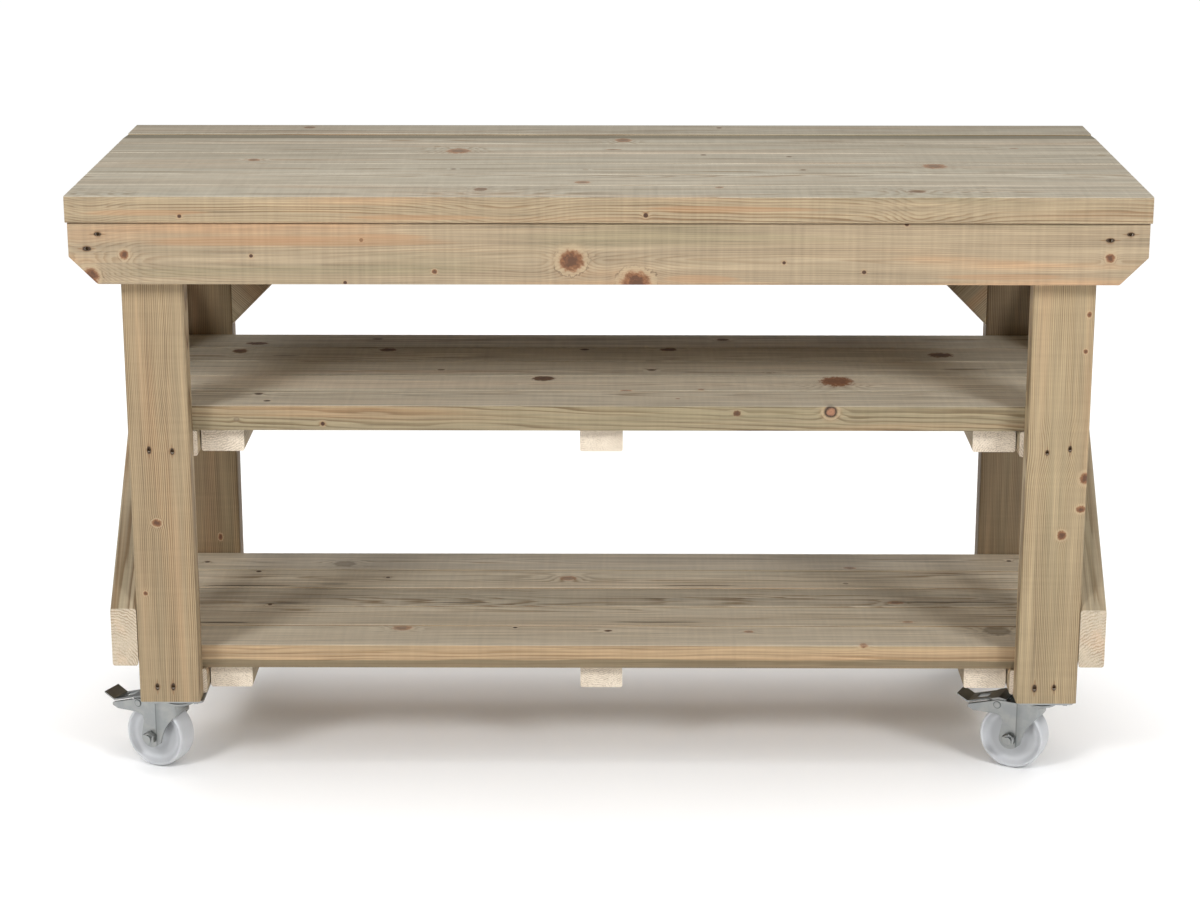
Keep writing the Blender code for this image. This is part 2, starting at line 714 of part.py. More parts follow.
def build_plate(name, place):
    """The fixed top plate with its screw holes, ball race and king pin."""
    x, y = PLATE_X / 2 - PLATE_CORNER, PLATE_Y / 2 - PLATE_CORNER
    outline = []
    for centre, start in (((x, y), 0), ((-x, y), 90), ((-x, -y), 180), ((x, -y), 270)):
        outline += arc(centre, PLATE_CORNER, start, start + 90, 3)
    mesh = prism(outline, PLATE_LOW, PLATE_LOW + PLATE_T)
    plate = part(f"{name}_plate", mesh, "zinc", place)
    race_low = PLATE_LOW - RACE_H
    king_low = CROWN_TOP - CROWN_H + KING_PIN_SHORT
    groove_r = RACE_R - RACE_GROOVE
    flare_z = PLATE_LOW + PLATE_T / 2
    race = lathe(
        [
            (0, king_low),
            (KING_PIN_R, king_low),
            (KING_PIN_R, race_low),
            (RACE_R - RACE_EASE, race_low),
            (RACE_R, race_low + RACE_EASE),
            (RACE_R, race_low + RACE_GROOVE_LOW),
            (groove_r, race_low + RACE_GROOVE_LOW + RACE_EASE),
            (groove_r, race_low + RACE_GROOVE_TOP),
            (RACE_R + RACE_FLARE, flare_z),
            (0, flare_z),
        ],
        24,
        "Z",
    )
    boolean(plate, cutter(f"{name}_race", race, place), "UNION")
    for index, (sx, sy) in enumerate(((1, 1), (-1, 1), (-1, -1), (1, -1))):
        low, high = PLATE_LOW - OVERSHOOT, PLATE_LOW + OVERSHOOT
        tool = cutter(f"{name}_screw_hole_{index + 1}", rod(PLATE_HOLE_R, low, high, "Z", 8), place)
        tool.location = (sx * PLATE_HOLE_X, sy * PLATE_HOLE_Y, 0)
        boolean(plate, tool, "DIFFERENCE")


def empty(name, location, turn=0.0, parent=None):
    obj = bpy.data.objects.new(name, None)
    obj.empty_display_size = 0.05
    parts.objects.link(obj)
    obj.location = location
    obj.rotation_euler = (0, 0, turn)
    obj.parent = parent
    return obj


def build_casters():
    leg_x = LEG_OUT - BOARD_W / 2
    front_y = LEG_FRONT + PLATE_SET_BACK + PLATE_Y / 2
    rear_y = REAR_LEG_BACK - PLATE_SET_BACK - PLATE_Y / 2
    for corner in ("front_left", "front_right", "rear_left", "rear_right"):
        name = f"{corner}_caster"
        x = LEFT_INSET - leg_x if corner.endswith("left") else leg_x
        y = front_y if corner.startswith("front") else rear_y
        place = empty(name, (x, y, 0))
        swivel = empty(f"{name}_swivel", (0, 0, 0), math.pi - SWIVEL_ANGLE, place)
        build_plate(name, place)
        build_fork(name, swivel)
        build_axle(name, swivel)
        build_wheel(name, swivel)
        build_pedal(name, swivel)


build_worktop()
build_legs()
build_shelf("lower", LOWER_RAIL_Z, waned=1)
build_shelf("upper", UPPER_RAIL_Z)
build_braces()
build_casters()
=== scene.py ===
"""Looks of the mobile workbench: treated softwood, zinc casters and white nylon wheels."""

import json
import math
import random

import bmesh
import bpy
from mathutils import Euler, Matrix, Vector

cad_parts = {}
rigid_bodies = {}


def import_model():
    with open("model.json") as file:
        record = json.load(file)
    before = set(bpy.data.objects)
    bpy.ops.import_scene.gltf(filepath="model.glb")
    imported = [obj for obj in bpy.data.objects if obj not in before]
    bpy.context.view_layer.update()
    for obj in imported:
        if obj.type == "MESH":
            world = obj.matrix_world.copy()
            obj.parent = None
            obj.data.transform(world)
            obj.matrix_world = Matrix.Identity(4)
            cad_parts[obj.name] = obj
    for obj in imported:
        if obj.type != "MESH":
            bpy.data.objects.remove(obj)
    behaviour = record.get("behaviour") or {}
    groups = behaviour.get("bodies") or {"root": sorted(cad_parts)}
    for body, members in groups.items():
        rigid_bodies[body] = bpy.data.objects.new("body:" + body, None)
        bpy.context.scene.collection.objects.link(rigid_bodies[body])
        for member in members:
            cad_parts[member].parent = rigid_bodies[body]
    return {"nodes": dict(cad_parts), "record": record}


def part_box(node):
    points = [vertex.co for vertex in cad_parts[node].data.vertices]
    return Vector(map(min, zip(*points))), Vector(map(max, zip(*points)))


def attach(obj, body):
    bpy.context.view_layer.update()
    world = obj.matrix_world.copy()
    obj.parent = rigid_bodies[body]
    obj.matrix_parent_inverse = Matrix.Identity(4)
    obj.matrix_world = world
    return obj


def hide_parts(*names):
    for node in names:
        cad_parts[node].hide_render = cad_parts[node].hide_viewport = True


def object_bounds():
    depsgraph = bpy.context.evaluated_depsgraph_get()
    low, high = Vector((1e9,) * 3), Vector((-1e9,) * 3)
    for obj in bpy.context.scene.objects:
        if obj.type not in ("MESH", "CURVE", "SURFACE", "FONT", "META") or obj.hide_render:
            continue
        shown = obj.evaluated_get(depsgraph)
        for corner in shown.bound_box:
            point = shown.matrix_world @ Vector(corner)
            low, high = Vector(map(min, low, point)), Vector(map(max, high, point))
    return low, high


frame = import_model()
cad_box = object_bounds()
NODES = frame["nodes"]

# The photograph's level camera with its lens shifted down: metres, radians and pixels.
PHOTO_EYE = Vector((0.0105, -4.1658, 1.6147))
PHOTO_YAW = 0.0057
PHOTO_FOCAL = 2679.3
PHOTO_CENTRE = 600.0
PHOTO_HORIZON = -310.3

# The scene's camera stands at the same place and looks down.
CAMERA_PITCH = math.radians(15.77)
CAMERA_LENS = 83.83

# Rows of boards from front to back, and the last board of each.
ROWS = ("top_board_", "upper_shelf_board_", "lower_shelf_board_")
LAST_BOARDS = tuple(max(name for name in NODES if name.startswith(row)) for row in ROWS)
CASTERS = ("front_left", "front_right", "rear_left", "rear_right")
WOOD = [name for name in NODES if "caster" not in name]

# Marks in the grain: photograph pixel, half length and half width in millimetres, and kind.
# Those on the upper faces are given by row of boards, those on the front faces by board.
UP = {
    "top_board": (
        (265, 154, 9, 9, "red"), (320, 122.4, 9, 9, "brown"), (463, 145.2, 17, 20, "red"),
        (443, 141, 5, 6, "faint"), (458, 163, 4, 4, "pin"), (484, 183, 9, 12, "brown"),
        (583, 176, 10, 9, "red"), (586, 163.6, 4, 4, "faint"), (596, 133.3, 19, 2, "crack"),
        (622.6, 135, 12, 16, "red"), (613, 144, 11, 3, "red"), (715, 123, 5, 7, "pin"),
        (700, 149.2, 4, 5, "pin"), (716, 181, 6, 4, "red"), (783, 151, 4, 5, "pin"),
        (797, 164, 4, 4, "pin"), (924, 160.2, 16, 19, "red"), (908, 185.2, 13, 9, "brown"),
        (892, 140, 4, 4, "faint"), (1000, 143, 7, 3, "red"), (1085, 149.5, 6, 5, "faint"),
        (143, 130, 5, 6, "faint"),
    ),
    "upper_shelf_board": (
        (245, 344.6, 11, 12, "brown"), (262, 336.6, 16, 8, "brown"), (381, 332, 9, 5, "crack"),
        (391, 343.2, 12, 10, "brown"), (290, 349, 17, 2, "crack"), (262, 388, 5, 4, "pin"),
        (270, 395, 5, 4, "pin"), (443, 363.6, 5, 3, "pin"), (544, 372.4, 16, 13, "brown"),
        (651, 363.6, 6, 5, "pin"), (585, 343, 7, 5, "pin"), (667.5, 343, 13, 9, "brown"),
        (721, 333, 10, 7, "brown"), (700, 383.6, 4, 4, "red"), (677, 393, 3, 3, "red"),
        (767, 366.5, 4, 4, "faint"), (834, 375.4, 23, 27, "russet"), (936, 348.6, 18, 14, "brown"),
        (626, 384.5, 8, 3, "red"), (230, 383, 30, 2, "crack"), (960, 363, 32, 3, "crack"),
    ),
    "lower_shelf_board": (
        (204.5, 563, 4, 4, "pin"), (256, 573, 4, 4, "pin"), (343, 565, 17, 13, "faint"),
        (386, 579.5, 3, 3, "pin"), (266, 608.4, 4, 4, "pin"), (400, 633.2, 14, 11, "red"),
        (568, 580.3, 13, 10, "red"), (514, 633, 3, 3, "pin"), (608, 636.5, 6, 4, "brown"),
        (751, 637.5, 7, 5, "red"), (852, 569.5, 9, 5, "red"), (848, 586, 4, 4, "faint"),
        (912, 627, 8, 4, "red"), (899, 606.5, 12, 6, "red"), (1003, 636.4, 19, 20, "faint"),
        (1012, 562, 4, 4, "pin"), (245, 588, 60, 2.5, "crack"), (330, 586.5, 26, 2, "crack"),
        (276, 606.8, 40, 2, "crack"), (215, 627.5, 34, 2.5, "crack"), (460, 606, 40, 2, "crack"),
        (660, 627.2, 70, 2.5, "crack"), (960, 605.8, 80, 2.5, "crack"), (700, 588, 60, 2, "crack"),
    ),
}
FRONT = {
    "top_board_1": (
        (190.5, 209.4, 3, 2.6, "pin"), (644.5, 208.6, 3, 3, "pin"), (104, 200, 22, 20, "swirl"),
        (500, 206, 44, 22, "swirl"), (926, 204, 36, 24, "swirl"), (905, 210, 16, 12, "swirl"),
        (150, 206, 80, 4, "blush"), (720, 203, 110, 4, "blush"), (420, 211, 90, 3, "blush"),
    ),
    "front_apron": (
        (135, 247.8, 6, 6, "red"), (259, 249, 2.4, 2.4, "pin"), (367, 233, 2.4, 2.4, "pin"),
        (350.3, 275.5, 2.4, 2.4, "pin"), (438, 264.4, 3.4, 3.2, "red"), (572, 253.6, 16, 14, "red"),
        (635, 275.5, 19, 15, "red"), (780, 255.6, 2.4, 2.4, "pin"), (858.5, 265, 2.6, 2.4, "pin"),
        (1099, 251, 6, 6, "red"), (101, 270, 11, 12, "red"), (899, 217, 3, 3, "pin"),
        (95, 270, 30, 34, "swirl"), (300, 234, 180, 7, "blush"), (995, 270, 70, 4, "blush"),
        (390, 230, 60, 4, "blush"), (700, 272, 50, 5, "blush"),
    ),
    "front_left_leg": (
        (155, 522, 5, 6, "red"), (140.5, 596.5, 3, 3, "red"), (166, 352, 60, 20, "swirl"),
    ),
    "front_right_leg": (
        (1081, 307.5, 4, 3, "red"), (1079, 345, 3, 3, "red"), (1085, 475.5, 8, 7, "red"),
        (1082, 507.5, 5, 6, "red"), (1064, 535, 6.5, 6, "red"), (1066, 445, 22, 24, "swirl"),
    ),
    "upper_shelf_board_1": (
        (239, 414, 4, 3, "faint"), (324.5, 418.6, 3, 3, "pin"), (519.5, 397.4, 3, 3, "pin"),
        (736, 408, 5, 4, "brown"), (829, 406.6, 9, 8, "ringed"),
    ),
    "lower_shelf_board_1": ((868, 651, 7, 5, "red"),),
    "lower_left_bearer": ((238.5, 686.4, 6, 5, "red"),),
    "rear_left_leg": ((218.5, 536.5, 5, 3, "red"),),
}

# Wood screws by photograph pixel, on the faces towards the camera.
SCREWS = {
    "front_apron": ((98.8, 241.6), (110, 227.2), (1098, 233.5), (1117.7, 227.7)),
    "front_left_leg": ((150.6, 446), (173.6, 447.4), (148.4, 697), (164.5, 697)),
    "front_right_leg": ((1045.7, 448.7), (1068.4, 445), (1043.5, 698.9), (1063.7, 698)),
}

# Wood screws: head, eased edge, cross recess over the core, and the hole they sit in.
SCREW_HEAD_R = 0.0024
SCREW_HEAD_T = 0.0024
SCREW_CORE_R = SCREW_HEAD_R * 0.45
SCREW_RIM = 0.0005
SCREW_EASE_R = 0.0002
SCREW_EASE_T = 0.0001
SCREW_CROSS = (2.6, 0.5)
SCREW_RECESS = 0.0009
SCREW_SUNK = 0.0030
SCREW_PLAY = 0.0002
SCREW_STEPS = 24
HOLE_R = 0.0027
HOLE_PLAY = 0.0001
HOLE_OUT = 0.001
HOLE_STEPS = 20

# Hexagon screws under the caster plates: the plate, head, pressed washer, and places over the
# plate's half sizes.
PLATE_T = 0.0035
HEXAGON = 6
PLATE_SCREW_R = 0.0058
PLATE_SCREW_T = 0.0040
PLATE_SCREW_EASE = 0.0007
WASHER_R = PLATE_SCREW_R * 1.25
WASHER_TOP_R = PLATE_SCREW_R * 0.8
WASHER_EDGE = 0.0008
WASHER_T = 0.0012
WASHER_LAP = 0.0001
PLATE_HOLES = (0.706, 0.762)

# Half of the wheel's section from the bore to the middle of the tread, over its radius.
WHEEL_SECTION = (
    (0.132, 0.456), (0.185, 0.456), (0.30, 0.372), (0.325, 0.20), (0.62, 0.185),
    (0.77, 0.205), (0.86, 0.300), (0.905, 0.352), (0.955, 0.356), (0.985, 0.312),
    (1.0, 0.215), (1.0, 0.0),
)
WHEEL_ROUNDINGS = 2
WHEEL_STEPS = 96
WHEEL_CREASE = math.radians(40)
JOINTS = {joint["name"]: joint for joint in frame["record"]["behaviour"]["joints"]}

# Sheet metal: width of its broken edges and the angle that makes an edge.
BROKEN_EDGE = 0.0005
BROKEN_STEPS = 2
METAL_CREASE = math.radians(32)
# Facets that turn less than this are one face, and corners nearer than this are one.
FLAT = math.radians(0.5)
WELD = 1e-6


def photo_point(pixel, axis, value):
    """Where the ray through a photograph pixel meets a plane across X, Y or Z."""
    right = Vector((math.cos(PHOTO_YAW), math.sin(PHOTO_YAW), 0))
    ahead = Vector((-math.sin(PHOTO_YAW), math.cos(PHOTO_YAW), 0))
    across = (pixel[0] - PHOTO_CENTRE) / PHOTO_FOCAL
    down = (pixel[1] - PHOTO_HORIZON) / PHOTO_FOCAL
    ray = ahead + right * across - Vector((0, 0, down))
    return PHOTO_EYE + ray * ((value - PHOTO_EYE[axis]) / ray[axis])


def rgb(red, green, blue):
    """A linear colour from one seen on screen, of 0 to 255."""
    def linear(part):
        part /= 255
        return part / 12.92 if part <= 0.04045 else ((part + 0.055) / 1.055) ** 2.4
    return (linear(red), linear(green), linear(blue), 1.0)


# Screen colours of the pale wood and of the dark lines of growth, by part of the bench.
TONES = {
    "top_board": ((167, 149, 120), (120, 91, 58)),
    "front_apron": ((166, 148, 121), (120, 92, 60)),
    # The rear legs' tones are darkened as painted shade, for the shade under the worktop.
    "rear_left_leg": ((132, 112, 83), (92, 71, 46)),
    "rear_right_leg": ((128, 110, 84), (90, 70, 46)),
    "left_leg": ((161, 141, 110), (106, 79, 46)),
    "right_leg": ((167, 148, 116), (112, 87, 54)),
    "upper_shelf": ((152, 138, 109), (106, 87, 59)),
    "lower_shelf": ((178, 152, 118), (125, 95, 61)),
    "other": ((174, 158, 131), (126, 100, 69)),
}
# Boards that are darker or lighter than the rest of their row. The upper shelf's boards 3 to 5 are
# painted shade, for their place under the worktop, and lower_shelf_board_5 is darkened as painted
# shade against the back fill lamp's light.
SHADES = {
    "upper_shelf_board_3": 0.83, "upper_shelf_board_4": 0.71, "upper_shelf_board_5": 0.68,
    "lower_shelf_board_3": 0.80, "lower_shelf_board_5": 0.89, "top_board_7": 0.92,
    "top_board_2": 1.05,
}
# Directions that the waned faces look in, and their shade: bark on top_board_6, and on
# lower_shelf_board_1, whose wane looks down, partly bark and partly painted shade.
WANES = {
    "top_board_6": (Vector((0, 0.002, 0.042)), 0.62),
    "lower_shelf_board_1": (Vector((0, -0.014, -0.007)), 0.50),
}
# Height of lower_shelf_board_1's darkened band, partly bark and partly painted shade.
WANE_EDGES = {"lower_shelf_board_1": 0.0145}
WARM = rgb(196, 150, 108)
OLIVE = rgb(136, 128, 98)
# Bark's dark brown; also the colour of the painted shadow under the worktop.
BARK_AND_SHADOW = rgb(70, 48, 34)
SAPWOOD = rgb(186, 168, 136)
END_GRAIN = rgb(231, 218, 199)
# Faces that look up are painted paler and greyer than those that look forward: painted light from
# above.
UP_PAINTED_LIGHT = {
    "top_board": (1.52, 1.76, 2.22, 1), "upper_shelf_board": (2.10, 2.36, 3.16, 1),
    "lower_shelf_board": (1.51, 1.87, 2.52, 1),
}
# The rear legs' dark tones are painted shade from under the worktop; their faces that look out of
# the frame are lifted paler than those inside it, which keep the painted shade.
OUTER_SHADE_LIFT = (1.50, 1.60, 1.78, 1)
# Painted light on the knots of faces that look up, to go with the rest of those faces.
KNOT_UP_LIGHT = (1.80, 1.62, 1.36, 1)
# How plainly the planer's knife marks and the lines of growth show on a board.
CHATTER = {"front_apron": 0.36, "top_board_1": 0.30}
LINES = {
    "front_apron": 0.50, "front_right_leg": 0.9, "top_board_1": 0.95, "lower_shelf_board_1": 0.7,
    "lower_shelf_board_2": 1.4, "lower_shelf_board_3": 1.3, "lower_shelf_board_4": 1.3,
}
# Core, rim, strength, halo, swell and unruliness of each kind of mark.
MARKS = {
    "pin": (rgb(40, 22, 12), rgb(66, 36, 20), 0.95, 0.30, 0.8, 0.0),
    "red": (rgb(84, 48, 28), rgb(146, 96, 60), 0.92, 0.20, 0.75, 0.45),
    "brown": (rgb(74, 44, 24), rgb(104, 66, 38), 0.92, 0.10, 0.6, 0.55),
    "russet": (rgb(112, 64, 32), rgb(146, 92, 52), 0.92, 0.10, 0.6, 0.80),
    "blush": (rgb(178, 128, 88), rgb(178, 134, 94), 0.42, 0.0, 0.0, 0.0),
    "ringed": (rgb(158, 112, 84), rgb(36, 22, 15), 0.96, 0.30, 0.8, 0.15),
    "faint": (rgb(128, 112, 90), rgb(104, 88, 68), 0.60, 0.0, 0.5, 0.35),
    "crack": (rgb(84, 72, 56), rgb(70, 58, 44), 0.75, 0.0, 0.0, 0.0),
    "torn": (rgb(30, 19, 11), rgb(54, 36, 21), 0.95, 0.0, 0.0, 0.0),
    "bruise": (rgb(122, 86, 56), rgb(132, 98, 66), 0.60, 0.0, 0.0, 0.0),
    "swirl": (None, None, 0.0, 0.0, 0.5, 0.0),
}
# Kinds of knot that show their own rings inside a shell of bark.
RINGED = ("red", "ringed")
# Kinds that stay dark on the shelves' upper faces.
DEEP = ("brown", "russet", "crack", "pin", "faint")
# Marks round each screw: half length, half width and kind.
TORN = ((11, 1.3, "bruise"), (5.5, 4.2, "bruise"), (5.0, 2.6, "torn"))
# Noises in the wood: repeats per metre along, across and through a board.
SWAY = (2.0, 9, 9)
STRENGTH = (2.4, 46, 46)
FIBRE = (10, 640, 640)
STREAK = (3.0, 120, 120)
TINGE = (1.7, 26, 26)
KNIFE = (150, 7, 7)
BLOT = (170, 170, 170)
PORE = (620, 620, 620)
UNEVEN = (0, 170, 170)
WAVE = (6, 0, 0)
WAVE_HEIGHT = 0.012
SWAY_DEPTH = (0, 0.018, 0.018)
# The pith: metres aside and away from a board's middle, and degrees of tilt.
PITH_ASIDE = 0.03
PITH_AWAY = (0.025, 0.06)
PITH_TILT = (1.3, 0.9)
LEG_PITH_ASIDE = 0.02
LEG_PITH_AWAY = (0.11, 0.15)
LEG_PITH_TILT = 0.3
# Growth: width of a year's ring, how unevenly the rings crowd, and how a knot's push falls off.
RING_SPACING = (0.0026, 0.0038)
RING_CROWDING = 1.3
LEG_RING_SPACING = (0.0026, 0.0030)
LEG_RING_CROWDING = 0.5
SWELL_FALL = 0.28
# Shade of a board, and how much its fibres, streaks and knife marks change it.
BASE_SHADE = 0.34
FIBRE_SHADE = 0.72
STREAK_SHADE = 0.60
PLAIN_CHATTER = 0.18
# How strongly legs and shelves are tinged, and what faces that look up lose of each effect.
LEG_HUE = 0.4
SHELF_HUE = 0.6
UP_HUE = 0.75
UP_LINES = 0.25
UP_FADE = 0.35
UP_GLOW = 0.85
# A knot, over its half size: its blend from core to rim, its years, sapwood, shell and depth.
SOFT_BLEND = (0.25, 1.25)
HARD_BLEND = (0.50, 0.85)
SOFT_FROM = 0.3
YEARS = 2.6
SAPWOOD_AT = 1.42
SHELL_AT = 1.62
MARK_DEPTH = 3
MM_PER_M = 1000
# What streaks and blots add to a mark's edge, as a factor and an offset, and fibres to its core.
RAGGED = (1.4, -0.70)
BLOTTED = (2.2, -1.10)
GROWN = 0.8
# Bark on a wane: the spread of its shade, and its olive. End grain: its lines.
BARK_SPREAD = 0.4
BARK_OLIVE = 0.3
END_LINES = 0.45
# Surface of the wood: shares of knife marks and growth in its relief, bump and roughness.
RELIEF = (0.5, 0.5)
WOOD_BUMP = {"Strength": 0.25, "Distance": 0.0005}
WOOD_ROUGH = (0.60, 0.80)
# Smooth steps: where they start and end, and their values there.
UPWARD_STEP = (0.55, 0.95, 0.0, 1.0)
OUTER_STEP = (0.2, 0.8, 0.0, 1.0)
LATE_RISE = (0.30, 0.84, 0.0, 1.0)
LATE_FALL = (0.86, 1.0, 1.0, 0.0)
STRONG_STEP = (0.30, 0.66, 0.20, 0.95)
WARM_STEP = (0.52, 0.72, 0.0, 0.50)
OLIVE_STEP = (0.28, 0.46, 0.45, 0.0)
YEAR_STEP = (0.55, 1.0, 0.0, 0.35)
SAPWOOD_STEP = (0.0, 0.4, 0.38, 0.0)
SHELL_STEP = (0.0, 0.12, 0.55, 0.0)
SHELL_BREAK = (0.42, 0.62, 0.0, 1.0)
WANE_STEP = (0.9992, 0.9998, 0.0, 1.0)
WANE_LINE = (-0.0008, 0.0008, 1.0, 0.0)
SAWN_STEP = (0.6, 0.85, 0.0, 1.0)
PORE_STEP = (0.46, 0.80, 0.0, 0.60)
HALO_REACH = (0.9, 2.3)
KNOT_EDGE = (0.84, 1.28)
# Painted shadow of the worktop's overhang on the apron: its foot and top below the apron's edge,
# and its strength.
WORKTOP_SHADOW = (0.0022, 0.0010, 0.55)

# Zinc: its two greys, repeats per metre of clouds and scuffs, painted shade for folds and rivets,
# and a painted dark reflection of the bench's underside on faces that look up.
ZINC = (rgb(149, 152, 152), rgb(162, 163, 161))
ZINC_CLOUD = (55, 55, 55)
ZINC_SCUFF = (900, 240, 420)
ZINC_STEP = (0.35, 0.7)
ZINC_ROUGH = (0.18, 0.14, 0.22)
ZINC_BUMP = {"Strength": 0.06, "Distance": 0.0002}
ZINC_SHADE = rgb(84, 90, 91)
UNDERSIDE_REFLECTION = rgb(80, 80, 74)
UNDERSIDE_REFLECTION_STEP = (0.45, 0.90, 0.0, 0.48)
# A fork's fold, ahead of the axle, the painted shade along its crease and over its web, and the
# painted shade round the rim of its rivet.
FOLD_AHEAD = 0.0103
SIDE_STEP = (0.3, 0.6, 1.0, 0.0)
CREASE_STEP = (0.0005, 0.0013, 0.62, 0.0)
WEB_STEP = (-0.011, -0.001, 0.0, 0.30)
RIVET_R = 0.0053
RIVET_STEP = (0.0003, 0.0010, 0.85, 0.0)
# Nylon: its two whites, the painted shade in its dish, and repeats per metre of clouds and skin.
NYLON = (rgb(201, 203, 206), rgb(195, 196, 198))
DISH_SHADE = rgb(169, 171, 173)
NYLON_CLOUD = (38, 38, 38)
NYLON_SKIN = (700, 700, 700)
NYLON_STEP = (0.4, 0.75)
NYLON_ROUGH = (0.15, 0.32)
NYLON_BUMP = {"Strength": 0.05, "Distance": 0.0002}
DISH_R = 0.031
DISH_STEP = (DISH_R, DISH_R * 1.25, 0.75, 0.0)
# Plating of the wood screws.
BRONZE = (rgb(46, 33, 21), rgb(84, 66, 46))
BRONZE_CLOUD = (900, 900, 900)
BRONZE_ROUGH = (0.35, 0.55)


class Graph:
    """A material whose nodes are added and linked in one call each."""

    def __init__(self, name):
        self.material = bpy.data.materials.new(name)
        self.material.use_nodes = True
        self.tree = self.material.node_tree
        self.shader = self.tree.nodes["Principled BSDF"]
        coords = self.tree.nodes.new("ShaderNodeTexCoord").outputs
        self.place, self.normal = coords["Object"], coords["Normal"]

    def add(self, kind, inputs, out=0, **settings):
        made = self.tree.nodes.new("ShaderNode" + kind)
        for key, value in settings.items():
            setattr(made, key, value)
        for key, value in inputs.items():
            self.put(made.inputs[key], value)
        return made.outputs[out]

    def put(self, socket, value):
        if isinstance(value, bpy.types.NodeSocket):
            self.tree.links.new(value, socket)
        else:
            socket.default_value = value

    def math(self, operation, *values):
        return self.add("Math", dict(enumerate(values)), operation=operation)

    def vector(self, operation, *values, out="Vector"):
        return self.add("VectorMath", dict(enumerate(values)), out, operation=operation)

    def length(self, value):
        return self.vector("LENGTH", value, out="Value")

    def dot(self, first, second):
        return self.vector("DOT_PRODUCT", first, second, out="Value")

    def upright(self, value):
        """The part of a vector along Z."""
        return self.add("SeparateXYZ", {0: value}, "Z")

    def scaled(self, value, low, high):
        """A value from 0 to 1, spread between two others."""
        return self.add("MapRange", {"Value": value, "To Min": low, "To Max": high})

    def step(self, value, low, high, first=0.0, last=1.0):
        """A smooth step between two values."""
        inputs = {0: value, 1: low, 2: high, 3: first, 4: last}
        return self.add("MapRange", inputs, interpolation_type="SMOOTHSTEP")

    def noise(self, vector, detail=2.0, out=0, rough=0.5):
        inputs = {"Vector": vector, "Scale": 1.0, "Detail": detail, "Roughness": rough}
        return self.add("TexNoise", inputs, out)

    def cloud(self, scale, detail=2.0):
        """A noise with its own repeats per metre along X, Y and Z."""
        return self.noise(self.vector("MULTIPLY", self.place, scale), detail)

    def mix(self, factor, first, second, kind="MIX"):
        inputs = {0: factor, 6: first, 7: second}
        return self.add("Mix", inputs, 2, data_type="RGBA", blend_type=kind)

    def finish(self, **sockets):
        for key, value in sockets.items():
            self.put(self.shader.inputs[key.replace("_", " ").title()], value)
        return self.material


def grain_frame(name):
    """A board's centre and its turn, with X along its length and Y across its face."""
    low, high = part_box(name)
    size = high - low
    if name.endswith("knee_brace"):
        turn = Euler((0, math.pi / 4 * (1 if "left" in name else -1), 0))
    elif name.endswith("_brace"):
        lean = Matrix.Rotation(math.pi / 4, 3, "X")
        turn = (lean @ Matrix.Rotation(math.pi / 2, 3, "Z")).to_euler()
    else:
        order = sorted(range(3), key=lambda axis: -size[axis])
        columns = [Vector([1.0 if axis == index else 0.0 for axis in range(3)]) for index in order]
        basis = Matrix(columns).transposed()
        if basis.determinant() < 0:
            basis.col[2] = -basis.col[2]
        turn = basis.to_euler()
    return (low + high) / 2, turn


def marks_on(name, centre, turn):
    """A board's marks by kind, in its own frame: places, inverse half sizes and widths."""
    inverse = turn.to_matrix().transposed()
    low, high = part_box(name)
    torn = [(*pick, *mark) for pick in SCREWS.get(name, ()) for mark in TORN]
    picks = [(pick, 1, low.y) for pick in (*FRONT.get(name, ()), *torn)]
    row = name.rpartition("_")[0]
    for pick in UP.get(row, ()):
        if low.y <= photo_point(pick, 2, high.z).y < high.y:
            picks.append((pick, 2, high.z))
    found = {}
    for pick, axis, value in picks:
        place = inverse @ (photo_point(pick, axis, value) - centre)
        along, across, kind = pick[2] / MM_PER_M, pick[3] / MM_PER_M, pick[4]
        spread = [1 / along, 1 / across, 1 / across]
        normal = inverse.col[axis]
        through = max(range(3), key=lambda index: abs(normal[index]))
        spread[through] = 1 / (MARK_DEPTH * across)
        found.setdefault(kind, []).append((place, Vector(spread), across))
    return found


